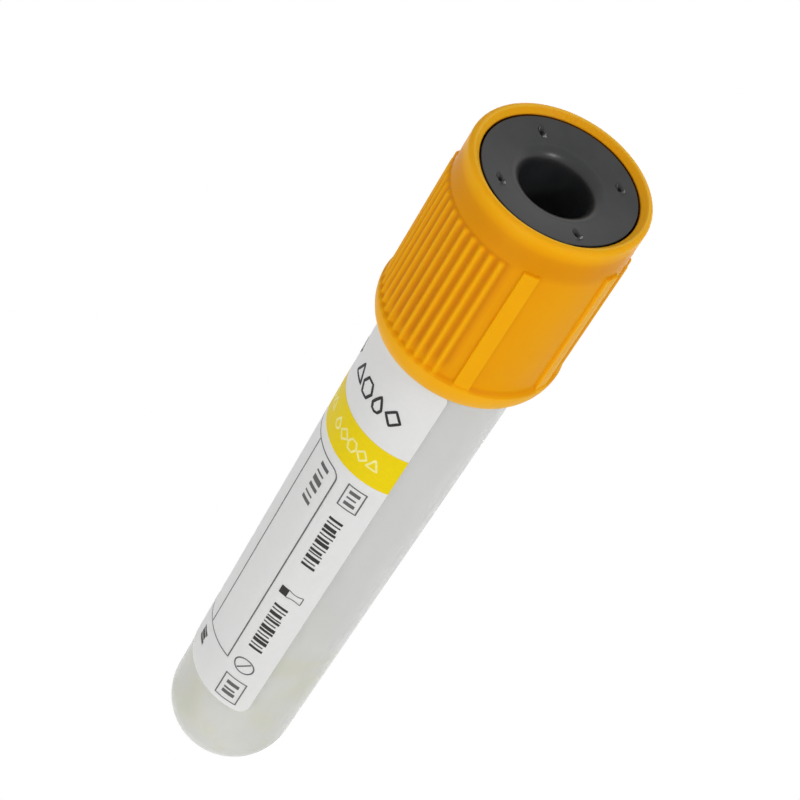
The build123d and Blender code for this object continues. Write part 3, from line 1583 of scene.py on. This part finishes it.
    def build(self, axes: TubeAxes) -> list[bpy.types.Object]:
        """Builds and dresses one piece for each ink.

        Args:
            axes: The tube's axes.

        Returns:
            The pieces.
        """
        self.symbols(TITLE)
        self.band()
        self.form(EmptyForm())
        self.panel(FillingMark())
        self.scale(LevelScale())
        pieces = []
        place = self.label.place(axes)
        face = self.label.glue + self.label.thickness
        for ink, patches in self.patches.items():
            # The pale ink is printed over the yellow band, so it ends twice as high.
            layers = 2 if ink is Ink.PALE else 1
            top = face + self.ink_lift * layers
            piece = wrapped_piece(ink.value.name, place, patches, face - self.ink_overlap, top)
            dress(piece, ink.value.make(), Body.TUBE, Slot.LABEL)
            pieces.append(piece)
        return pieces


# ---------------------------------------------------------------- closure


@dataclass(frozen=True)
class RubberStopper:
    """The stopper: a dished face with a needle well and nubs, a neck, a flange and a plug.

    Heights are on the tube's axis. A nub is a wedge with one slanted face, at the end of a pit.

    Attributes:
        tube: The tube that it closes.
        face_height: Height of the face's edge.
        head_radius: Radius of the head and the flange.
        head_rounding: Rounding of the face's edge.
        neck_radius: Radius of the neck, which the cap's ring holds.
        neck_foot: Height of the neck's lower end.
        neck_top: Height of the neck's upper end.
        plug_foot: Height of the plug's end.
        plug_clearance: Gap between the plug and the bore.
        plug_chamfer: Chamfer of the plug's end.
        plug_wall: Thickness of the plug round its recess.
        recess_top: Height of the recess's end.
        recess_rounding: Rounding of the recess's end.
        recess_hub: Radius of the first ring of corners in the recess.
        well_radius: Radius of the needle well.
        well_floor: Height of the well's floor.
        well_rounding: Rounding of the well's edge.
        well_corner: Rounding at the well's floor.
        well_hub: Radius of the last ring of corners on the well's floor.
        face_spans: Number of rows of faces from the face's edge to the well.
        dish_depth: How much lower the face is at the well.
        dish_bulge: How much the face bulges between its edge and the well.
        nub_angles: Angle of each nub.
        nub_circle: Radius of the circle that the pits are on.
        nub_shift: Distance and direction of a nub from its pit.
        nub_angle: Direction that a nub's slanted face looks in.
        nub_slope: Slant of that face.
        nub_reach: Half the nub's length.
        nub_side: Half the nub's width.
        nub_steepness: Slope of its other sides.
        nub_columns: Number of finer columns on each side of a nub.
        fine_column: Angle between the finer columns.
        coarse_column: Angle between the others, about.
        pit_length: Half the pit's length.
        pit_width: Half the pit's width.
        pit_depth: Depth of the pit.
        pit_angle: Direction of the pit's length.
        calm_depth: Depth under the face from which no nub or pit is made.
        edge_rounding: Rounding of the other edges.
    """

    tube: SampleTube
    face_height: float = 83.31
    head_radius: float = 6.67
    head_rounding: float = 0.07
    neck_radius: float = 6.1
    neck_foot: float = 77.0
    neck_top: float = 78.2
    plug_foot: float = 66.5
    plug_clearance: float = 0.05
    plug_chamfer: float = 0.6
    plug_wall: float = 2.2
    recess_top: float = 73.0
    recess_rounding: float = 0.8
    recess_hub: float = 0.4
    well_radius: float = 3.05
    well_floor: float = 77.2
    well_rounding: float = 1.1
    well_corner: float = 0.4
    well_hub: float = 0.3
    face_spans: int = 60
    dish_depth: float = 0.55
    dish_bulge: float = 0.04
    nub_angles: tuple[float, ...] = (38.5, 124.5, 215.5, 307.0)
    nub_circle: float = 5.3
    nub_shift: tuple[float, float] = (0.5, 145.0)
    nub_angle: float = 116.0
    nub_slope: float = 49.0
    nub_reach: float = 0.2
    nub_side: float = 0.22
    nub_steepness: float = 2.5
    nub_columns: int = 12
    fine_column: float = 0.75
    coarse_column: float = 3.0
    pit_length: float = 0.62
    pit_width: float = 0.32
    pit_depth: float = 0.42
    pit_angle: float = 128.0
    calm_depth: float = 0.2
    edge_rounding: float = 0.1

    def dish(self, radius: float) -> float:
        """Height of the dished face at a radius.

        Args:
            radius: The radius.

        Returns:
            The height along the tube's axis.
        """
        share = (radius - self.well_radius) / (self.head_radius - self.well_radius)
        slope = self.face_height - self.dish_depth * (1 - share)
        return slope + 4 * self.dish_bulge * share * (1 - share)

    def outline(self) -> Outline:
        """Outline of the stopper, from the middle of its recess to the middle of its well.

        Returns:
            The outline, which starts and ends on the axis.
        """
        edge, corner = self.edge_rounding, self.well_corner
        foot = self.tube.bore_radius(self.plug_foot) - self.plug_clearance
        root = self.tube.bore_radius(self.tube.length) - self.plug_clearance
        recess = foot - self.plug_wall
        bend = self.recess_rounding
        lip = self.head_radius - self.head_rounding
        lip_height = self.dish(lip) - self.head_rounding
        inner = self.well_radius + self.well_rounding
        turn_height = self.dish(inner) - self.well_rounding
        radii = [radius for radius, _ in run((lip, 0), (inner, 0), self.face_spans)]
        seat = self.tube.length
        return [
            (0.0, self.recess_top),
            *run((self.recess_hub, self.recess_top), (recess - bend, self.recess_top), 3),
            *arc((recess - bend, self.recess_top - bend), bend, 90, 0, 6)[1:],
            *run((recess, self.recess_top - bend), (recess, self.plug_foot + edge), 4)[1:],
            *arc((recess + edge, self.plug_foot + edge), edge, 180, 270, 3)[1:],
            (foot - self.plug_chamfer, self.plug_foot),
            (foot, self.plug_foot + self.plug_chamfer),
            *run((foot, self.plug_foot + self.plug_chamfer), (root, seat), 6)[1:],
            (self.head_radius - edge, seat),
            *arc((self.head_radius - edge, seat + edge), edge, -90, 0, 3)[1:],
            *arc((self.head_radius - edge, self.neck_foot - edge), edge, 0, 90, 3),
            (self.neck_radius, self.neck_foot),
            (self.neck_radius, self.neck_top),
            (self.head_radius - edge, self.neck_top),
            *arc((self.head_radius - edge, self.neck_top + edge), edge, -90, 0, 3)[1:],
            *run((self.head_radius, self.neck_top + edge), (self.head_radius, lip_height), 5)[1:],
            *arc((lip, lip_height), self.head_rounding, 0, 90, 5)[1:],
            *[(radius, self.dish(radius)) for radius in radii[1:]],
            *arc((inner, turn_height), self.well_rounding, 90, 180, 12)[1:],
            *run((self.well_radius, turn_height), (self.well_radius, self.well_floor + corner), 8)[1:],
            *arc((self.well_radius - corner, self.well_floor + corner), corner, 0, -90, 5)[1:],
            *run((self.well_radius - corner, self.well_floor), (self.well_hub, self.well_floor), 6)[1:],
            (0.0, self.well_floor),
        ]

    def columns(self) -> list[float]:
        """Angles of the columns, closer together at the nubs.

        Returns:
            The angles, in order.
        """
        reach = self.nub_columns * self.fine_column
        span = 360 / len(self.nub_angles) - 2 * reach
        count = round(span / self.coarse_column)
        angles = set()
        for middle in self.nub_angles:
            fine = range(-self.nub_columns, self.nub_columns + 1)
            angles.update(middle + n * self.fine_column for n in fine)
            angles.update(middle + reach + span * n / count for n in range(1, count))
        return sorted(angle % 360 for angle in angles)

    def nubs(self, radius: float, height: float, angle: float) -> Place:
        """Raises the small pointed nubs on the face, each at the end of its pit.

        Args:
            radius: Radius of a corner.
            height: Height of the corner.
            angle: Angle of the corner.

        Returns:
            The corner's radius and its new height.
        """
        if height < self.dish(self.well_radius + self.well_rounding) - self.calm_depth:
            return radius, height
        here = Vector(polar(radius, angle))
        rise = 0.0
        for middle in self.nub_angles:
            pit = Vector(polar(self.nub_circle, middle))
            along, across = turned(here - pit, self.pit_angle)
            rise -= self.pit_depth * bell(math.hypot(along / self.pit_length, across / self.pit_width))
            nub = pit + Vector(polar(*self.nub_shift))
            ahead, aside = turned(here - nub, self.nub_angle)
            face = (self.nub_reach - ahead) * math.tan(math.radians(self.nub_slope))
            sides = min(self.nub_reach + ahead, self.nub_side - abs(aside)) * self.nub_steepness
            rise += max(0.0, min(face, sides) + self.dish(nub.length) - self.dish(radius))
        return radius, height + rise

    def build(self, axes: TubeAxes) -> bpy.types.Object:
        """Builds and dresses the stopper.

        Args:
            axes: The tube's axes.

        Returns:
            The stopper.
        """
        piece = turned_piece("stopper", axes, self.outline(), self.columns(), self.nubs)
        dress(piece, MattRubber().make(), Body.CLOSURE, Slot.STOPPER, Node.STOPPER)
        return piece


@dataclass(frozen=True)
class RibbedCap:
    """The cap: a collar, a ribbed grip with two plain panels between flat bars, and a rim.

    Heights are on the tube's axis.

    Attributes:
        foot: Height of its open end.
        top: Height of its rim.
        core_foot: Radius and height at the foot of the side between the ribs.
        core_top: Radius and height at the side's top.
        skirt_bore: Radius inside the skirt.
        ring_bore: Radius inside the ring that holds the stopper.
        ring_foot: Height of the ring's lower side.
        ring_top: Height of the ring's upper side.
        head_bore: Radius round the stopper's head.
        rim_chamfer: Size of the rim's inner slope.
        rim_rounding: Rounding of the rim's outer edge.
        rim_fade: Height over which the side takes the rim's paler colour, a painted highlight.
        crest_softness: Radius between the rim's flat and its slope.
        crest_blend: Where the slope starts from that radius, as a share of it.
        crest_reach: How far the crest's painted highlight goes over the rim's outer rounding.
        collar_radius: Radius of the collar.
        collar_undercut: How much narrower the collar is at the open end.
        collar_crown: Height where the collar is widest.
        collar_rounding: Rounding over the collar's crown.
        collar_span: Share of the collar's curve that is left over its foot's edge.
        foot_rounding: Rounding of the edges of the open end.
        root_fillet: Fillet between the collar and the side.
        grip_top: Height where the ribs and bars end.
        grip_height: How far they stand out.
        grip_rings: Heights of the rings of corners at the grip's end, from that end.
        low_rings: Gap over the side's foot, gap under the grip's end, and spans between them.
        high_rings: Gap over the grip's end, gap under the side's top, and spans between them.
        panel_angles: Angles of the middles of the two plain panels.
        bar_spread: Angle between a panel's middle and its two bars.
        bar_width: Width of a bar.
        bar_bevel: Width of a bar's sloping edge.
        rib_count: Number of ribs between two panels.
        rib_pitch: Angle between ribs.
        rib_reach: Half a rib's width.
        rib_columns: Number of columns on each side of a rib's middle.
        widest_column: Greatest angle between two columns.
        band_fade: Height over which the darker colour over the grip, a painted shade, starts.
        outer_wall: Distance from the head's bore, over which a place is on the outer side.
    """

    foot: float = 64.0
    top: float = 83.8
    core_foot: Place = (7.95, 66.5)
    core_top: Place = (7.82, 83.35)
    skirt_bore: float = 6.85
    ring_bore: float = 6.15
    ring_foot: float = 77.05
    ring_top: float = 78.15
    head_bore: float = 6.82
    rim_chamfer: float = 0.53
    rim_rounding: float = 0.43
    rim_fade: float = 1.5
    crest_softness: float = 0.1
    crest_blend: float = 0.3
    crest_reach: float = 0.065
    collar_radius: float = 8.345
    collar_undercut: float = 0.65
    collar_crown: float = 66.15
    collar_rounding: float = 0.35
    collar_span: float = 0.97
    foot_rounding: float = 0.12
    root_fillet: float = 0.22
    grip_top: float = 80.15
    grip_height: float = 0.25
    grip_rings: tuple[float, ...] = (-0.44, -0.36, -0.28, -0.2, -0.13, -0.09, -0.045, 0, 0.045, 0.1)
    low_rings: tuple[float, float, int] = (0.3, 0.6, 10)
    high_rings: tuple[float, float, int] = (0.3, 0.1, 5)
    panel_angles: tuple[float, float] = (130.0, 310.0)
    bar_spread: float = 27.0
    bar_width: float = 1.37
    bar_bevel: float = 0.09
    rib_count: int = 14
    rib_pitch: float = 6.93
    rib_reach: float = 0.44
    rib_columns: int = 6
    widest_column: float = 2.5
    band_fade: float = 1.2
    outer_wall: float = 0.5

    @property
    def core(self) -> Taper:
        """The side between the ribs."""
        return Taper(self.core_foot, self.core_top)

    def rib_angles(self) -> list[float]:
        """Angles of the ribs' middles."""
        first = [angle - 90 - self.rib_pitch * (self.rib_count - 1) / 2 for angle in self.panel_angles]
        return [start + self.rib_pitch * n for start in first for n in range(self.rib_count)]

    def bar_angles(self) -> list[float]:
        """Angles of the bars' middles."""
        return [angle + side * self.bar_spread for angle in self.panel_angles for side in (-1, 1)]

    def columns(self) -> list[float]:
        """Angles of the columns, closer together at the ribs and the bars' edges.

        Returns:
            The angles, in order.
        """
        per_mm = math.degrees(1 / self.core_foot[0])
        steps = self.rib_columns
        ribs = [self.rib_reach * n / steps for n in range(-steps, steps + 1)]
        half, bevel = self.bar_width / 2, self.bar_bevel
        edges = [half + bevel / 2, half, half - bevel / 2, half - bevel, half - 3 * bevel, half / 3]
        bars = [side * edge for edge in edges for side in (-1, 1)]
        places = [(middle, mm) for middle in self.rib_angles() for mm in ribs]
        places += [(middle, mm) for middle in self.bar_angles() for mm in bars]
        angles = {round((middle + mm * per_mm) % 360, 3) for middle, mm in places}
        ordered = sorted(angles)
        filled = []
        for one, two in pairwise([*ordered, ordered[0] + 360]):
            spans = max(1, math.ceil((two - one) / self.widest_column))
            filled += [one + (two - one) * n / spans for n in range(spans)]
        return filled

    def relief(self, angle: float, height: float) -> float:
        """Height of the ribs and bars over the side.

        Args:
            angle: Angle on the cap.
            height: Height on the cap.

        Returns:
            How far the grip stands out there.
        """
        to_mm = math.radians(self.core_foot[0])
        rise = 0.0
        for middle in self.rib_angles():
            away = turn_between(angle, middle) * to_mm
            if away < self.rib_reach:
                beyond = max(0.0, height - (self.grip_top - self.rib_reach))
                rise = max(rise, bell(math.hypot(away, beyond) / self.rib_reach))
        for middle in self.bar_angles():
            away = turn_between(angle, middle) * to_mm
            inside = min(self.bar_width / 2 - away, self.grip_top - height)
            rise = max(rise, smooth_step(inside / self.bar_bevel + 0.5))
        return self.grip_height * rise

    def side_heights(self) -> list[float]:
        """Heights of the rings on the side, closer together at the grip's end.

        Returns:
            The heights, in order.
        """
        over, under, spans = self.low_rings
        low = run((0, self.core_foot[1] + over), (0, self.grip_top - under), spans)
        end = [(0, self.grip_top + shift) for shift in self.grip_rings]
        over, under, spans = self.high_rings
        high = run((0, self.grip_top + over), (0, self.core_top[1] - under), spans)
        return [height for _, height in [*low, *end, *high]]

    def outline(self) -> Outline:
        """Outline of the cap without its grip.

        Returns:
            The outline, a loop that starts at the foot of the skirt's bore.
        """
        drop = self.collar_crown - self.foot
        size = (drop**2 + self.collar_undercut**2) / (2 * self.collar_undercut)
        lean = math.degrees(math.asin(drop / size))
        rim, slope, crest = self.rim_rounding, self.rim_chamfer, self.crest_softness
        # The crest touches the flat rim and the slope, which is at 45 degrees to it.
        crest_radius = self.head_bore + slope + crest * math.tan(math.radians(45 / 2))
        drawn_in = self.crest_blend * crest
        crest_end = (self.head_bore + slope - drawn_in, self.top - drawn_in)
        soft, root = self.foot_rounding, self.root_fillet
        foot_radius = self.collar_radius - self.collar_undercut
        crown = self.collar_rounding
        return [
            *arc((self.skirt_bore + soft, self.foot + soft), soft, 180, 270, 3),
            *run((self.skirt_bore + soft, self.foot), (foot_radius - soft, self.foot), 2)[1:],
            *arc((self.collar_radius - size, self.collar_crown), size, -lean * self.collar_span, 0, 12),
            *arc((self.collar_radius - crown, self.collar_crown), crown, 0, 60, 8)[1:],
            *arc((self.core_foot[0] + root, self.core_foot[1] + root), root, 240, 180, 5),
            *[(self.core.radius(height), height) for height in self.side_heights()],
            *arc((self.core_top[0] - rim, self.core_top[1]), rim, 0, 90, 12),
            *arc((crest_radius, self.top - crest), crest, 90, 130, 4),
            *run(crest_end, (self.head_bore, self.top - slope), 5),
            *run((self.head_bore, self.top - slope), (self.head_bore, self.ring_top), 4)[1:],
            (self.ring_bore, self.ring_top),
            (self.ring_bore, self.ring_foot),
            *run((self.skirt_bore, self.ring_foot), (self.skirt_bore, self.foot + soft), 8)[:-1],
        ]

    def on_grip(self, radius: float, height: float) -> bool:
        """True on the outer side, where the ribs and bars may stand."""
        outside = radius > self.head_bore + self.outer_wall
        return outside and self.collar_crown < height < self.core_top[1]

    def grip(self, radius: float, height: float, angle: float) -> Place:
        """Raises the ribs and bars on the side.

        Args:
            radius: Radius of a corner.
            height: Height of the corner.
            angle: Angle of the corner.

        Returns:
            The corner's new radius, and its height.
        """
        if not self.on_grip(radius, height):
            return radius, height
        return max(radius, self.core.radius(height) + self.relief(angle, height)), height

    def painted_light(self, angle: float, radius: float, height: float) -> float:
        """Painted shade or painted highlight at a place, as one of the levels or between two of them.

        Args:
            angle: Angle of the place.
            radius: Radius of the place.
            height: Height of the place.

        Returns:
            The share.
        """
        if not self.on_grip(radius, height):
            # Off the grip: painted highlight on the flat rim and a paler painted highlight on the other
            # edges; painted shade in the gap round the stopper.
            flat_end = self.core_top[0] - self.rim_rounding
            if height > self.top - self.crest_softness / 2 and radius < flat_end + self.crest_reach:
                return PaintedLightLevel.CREST_HIGHLIGHT.value
            in_gap = radius < self.head_bore + HAIR_BREADTH and self.ring_top < height
            return PaintedLightLevel.GAP_SHADE.value if in_gap else PaintedLightLevel.EDGE.value
        # On the grip: painted shade between the ribs and on the band over the grip, painted highlight on
        # the ribs, the bars and near the rim.
        nearest = min(turn_between(angle, middle) for middle in self.rib_angles())
        among_ribs = smooth_step(2 - 2 * nearest / self.rib_pitch)
        inside = min(self.grip_top - height, height - self.core_foot[1] - self.rib_reach)
        hollow = among_ribs * smooth_step(inside / self.rib_reach + 0.5)
        ridge_highlight = self.relief(angle, height) / self.grip_height
        over_grip = smooth_step((height - self.grip_top) / self.band_fade + 0.5)
        at_rim = smooth_step(1 - (self.core_top[1] - height) / self.rim_fade)
        level = mix(PaintedLightLevel.PLAIN.value, PaintedLightLevel.BAND_SHADE.value, over_grip)
        level = mix(level, PaintedLightLevel.EDGE.value, at_rim)
        level = mix(level, PaintedLightLevel.GROOVE_SHADE.value, hollow)
        return mix(level, PaintedLightLevel.RIDGE_HIGHLIGHT.value, ridge_highlight)

    def build(self, axes: TubeAxes) -> bpy.types.Object:
        """Builds and dresses the cap.

        Args:
            axes: The tube's axes.

        Returns:
            The cap.
        """
        outline, columns = self.outline(), self.columns()
        piece = turned_piece("ribbed_cap", axes, outline, columns, self.grip, crease=40.0)
        # Each corner keeps its painted shade or painted highlight, which the cap's finish turns into
        # colour.
        marks = piece.data.attributes.new(PAINTED_LIGHT, "FLOAT", "POINT")
        shares = [self.painted_light(angle, *place) for place in outline for angle in columns]
        marks.data.foreach_set("value", shares)
        dress(piece, SatinCapPlastic().make(), Body.CLOSURE, Slot.CAP, Node.CAP)
        return piece


def dress(
    piece: bpy.types.Object,
    finish: bpy.types.Material,
    body: Body,
    slot: Slot,
    node: Node | None = None,
) -> None:
    """Gives a piece its finish and its place in the frame.

    Args:
        piece: The piece.
        finish: Its material.
        body: The body that it rides on.
        slot: The material slot meant for its finish. Not used.
        node: The construction solid that it stands for, if it stands for one.
    """
    piece.data.materials.append(finish)
    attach(piece, body.value)
    if node:
        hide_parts(node.value)
    LOG.info("%s: %d faces on %s", piece.name, len(piece.data.polygons), body.value)


# ---------------------------------------------------------------- studio


@dataclass(frozen=True)
class SoftLamp:
    """A square lamp that faces the object.

    Attributes:
        name: Name of the lamp.
        angle: Angle round the tube's axis.
        lift: Angle over the horizon.
        distance: Distance from the object, in metres.
        size: Side of the lamp, in metres.
        level: Share of white that it gives a surface that faces it.
    """

    name: str
    angle: float
    lift: float
    distance: float
    size: float
    level: float

    def build(self, axes: TubeAxes, target: Vector) -> None:
        """Adds the lamp.

        Args:
            axes: The tube's axes.
            target: What it faces.
        """
        data = bpy.data.lights.new(self.name, type="AREA")
        data.size = self.size
        # A small lamp of this power lights a white surface that faces it to that share of white.
        data.energy = self.level * math.pi**2 * self.distance**2
        lamp = bpy.data.objects.new(self.name, data)
        lift = math.radians(self.lift)
        toward = axes.outward(self.angle) * math.cos(lift) - axes.along * math.sin(lift)
        lamp.location = target + toward * self.distance
        lamp.rotation_euler = toward.to_track_quat("Z", "Y").to_euler()
        lamp.visible_camera = False
        bpy.context.scene.collection.objects.link(lamp)


@dataclass(frozen=True)
class Camera:
    """The camera's place, given round the tube, in millimetres and degrees.

    Attributes:
        aim: Side, front and height of the point in the middle of the picture.
        angle: Angle of the camera round the axis.
        from_axis: Angle between the axis and the line to the camera.
        distance: Distance from the aim.
        roll: Turn of the picture from the tube's axis.
        lens: Focal length.
        nearest: Distance, in metres, from which things are seen.
    """

    aim: tuple[float, float, float] = (1.5, -0.044, 53.622)
    angle: float = 88.323
    from_axis: float = 44.907
    distance: float = 208.969
    roll: float = 32.005
    lens: float = 109.795
    nearest: float = 0.01

    def build(self, axes: TubeAxes) -> None:
        """Adds the camera and makes it the scene's.

        Args:
            axes: The tube's axes.
        """
        side, front, height = self.aim
        aim = axes.foot + (axes.side * side + axes.front * front + axes.along * height) * MM
        lean, roll = math.radians(self.from_axis), math.radians(self.roll)
        back = axes.outward(self.angle) * math.sin(lean) + axes.along * math.cos(lean)
        tip = (axes.along - back * back.dot(axes.along)).normalized()
        across = tip.cross(back)
        up = tip * math.cos(roll) - across * math.sin(roll)
        right = across * math.cos(roll) + tip * math.sin(roll)
        data = bpy.data.cameras.new("studio_camera")
        data.lens = self.lens
        data.clip_start = self.nearest
        camera = bpy.data.objects.new("studio_camera", data)
        turn = Matrix((right, up, back)).transposed().to_4x4()
        camera.matrix_world = Matrix.Translation(aim + back * self.distance * MM) @ turn
        bpy.context.scene.collection.objects.link(camera)
        bpy.context.scene.camera = camera


@dataclass(frozen=True)
class Studio:
    """The pale floor, the soft lamps, the white surround and the camera.

    Attributes:
        floor_size: Side of the floor, in metres.
        surround: Strength of the surround's light.
        lamps: The lamps.
    """

    floor_size: float = 6.0
    surround: float = 0.60
    lamps: tuple[SoftLamp, ...] = (
        SoftLamp("key_lamp", angle=78, lift=14, distance=0.45, size=0.3, level=0.30),
        SoftLamp("back_lamp", angle=265, lift=20, distance=0.5, size=0.4, level=0.28),
        SoftLamp("floor_bounce", angle=142, lift=-42, distance=0.4, size=0.06, level=0.22),
    )

    def floor(self) -> None:
        """Adds the floor. It takes shadows, and leaves the light on the object to the surround."""
        half = self.floor_size / 2
        places = ((-half, -half), (half, -half), (half, half), (-half, half))
        corners = [Vector((x, y, 0)) for x, y in places]
        piece = add_piece("studio_floor", corners, [(0, 1, 2, 3)], crease=180.0)
        piece.data.materials.append(FloorPaint().make())
        piece.visible_diffuse = piece.visible_glossy = False
        piece.visible_transmission = piece.visible_shadow = False
        piece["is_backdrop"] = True

    def world(self) -> None:
        """Sets an even surround, which is white where it is seen."""
        world = bpy.data.worlds.new("white_surround")
        world.use_nodes = True
        sheet = NodeSheet(world.node_tree)
        light = sheet.tree.nodes["Background"]
        light.inputs["Color"].default_value = WHITE
        light.inputs["Strength"].default_value = self.surround
        seen = sheet.add("ShaderNodeBackground", Color=WHITE)
        path = sheet.add("ShaderNodeLightPath")
        direct = path.outputs["Is Camera Ray"]
        for ray in ("Is Glossy Ray", "Is Transmission Ray"):
            either = sheet.add("ShaderNodeMath", operation="MAXIMUM")
            direct = sheet.joined(either, direct, path.outputs[ray])
        both = sheet.add("ShaderNodeMixShader")
        surface = sheet.joined(both, direct, light.outputs[0], seen.outputs[0])
        sheet.link(surface, sheet.tree.nodes["World Output"].inputs["Surface"])
        bpy.context.scene.world = world

    def build(self, axes: TubeAxes) -> None:
        """Sets up the studio.

        Args:
            axes: The tube's axes.
        """
        low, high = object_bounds()
        self.floor()
        self.world()
        for lamp in self.lamps:
            lamp.build(axes, (low + high) / 2)
        Camera().build(axes)
        bpy.context.scene.view_settings.view_transform = "Standard"
        LOG.info("studio: %d lamps", len(self.lamps))


def main() -> None:
    """Builds the tube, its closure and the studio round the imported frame."""
    logging.basicConfig(level=logging.INFO, format="%(name)s: %(message)s")
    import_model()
    axes = read_axes()
    tube = SampleTube()
    tube.build(axes)
    SeparatorGel(tube).build(axes)
    label = WrapLabel(tube)
    label.build(axes)
    LabelPrint(label).build(axes)
    RubberStopper(tube).build(axes)
    RibbedCap().build(axes)
    Studio().build(axes)


if __name__ == "__main__":
    main()
